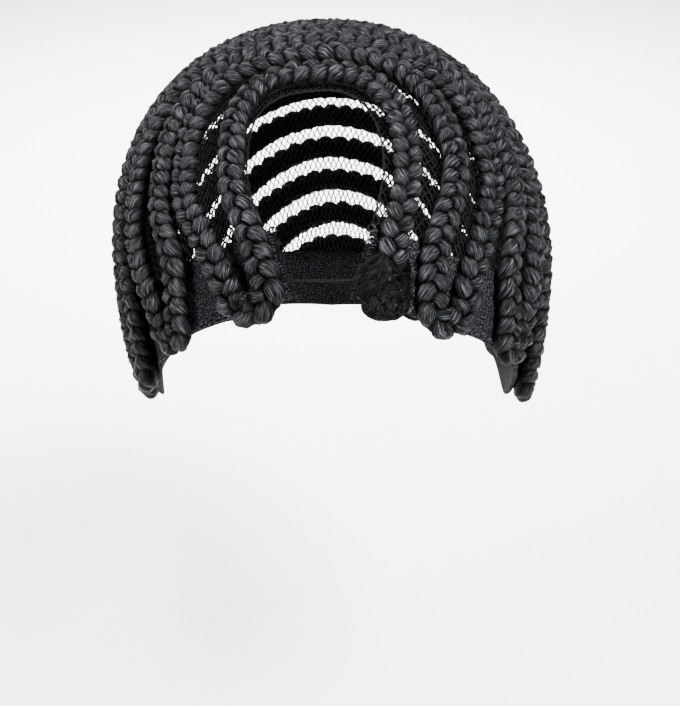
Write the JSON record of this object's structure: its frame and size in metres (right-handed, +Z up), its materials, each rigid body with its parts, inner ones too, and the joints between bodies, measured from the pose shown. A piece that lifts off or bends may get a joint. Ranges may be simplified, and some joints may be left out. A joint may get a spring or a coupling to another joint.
{
  "type": "cornrow wig cap",
  "caption": "Wig cap of stretch net with a long plait sewn on in nested horseshoe rows, a knitted hairline band, and a keyhole opening at the front tied across by a thread.",
  "frame": {"origin": "inside of the crown, where the cap sits on a head", "axes": "+X to the right as seen from the front, +Y to the back, +Z up"},
  "size_m": [0.1615, 0.1988, 0.1459],
  "materials": {
    "hair": "satin",
    "net": "matte",
    "knit": "matte",
    "thread": "matte"
  },
  "bodies": {
    "root": {"net_cap": "net", "hairline_band": "knit", "braid_row_a": "hair", "braid_row_b": "hair", "braid_row_c": "hair", "braid_row_d": "hair", "braid_row_e": "hair", "braid_row_f": "hair", "braid_row_g": "hair", "braid_row_h": "hair", "braid_row_i": "hair", "braid_row_j": "hair", "braid_row_k": "hair", "braid_row_l": "hair", "braid_row_m": "hair", "braid_row_n": "hair", "braid_row_o": "hair", "braid_end_pad": "hair", "tie_thread": "thread"}
  },
  "joints": []
}
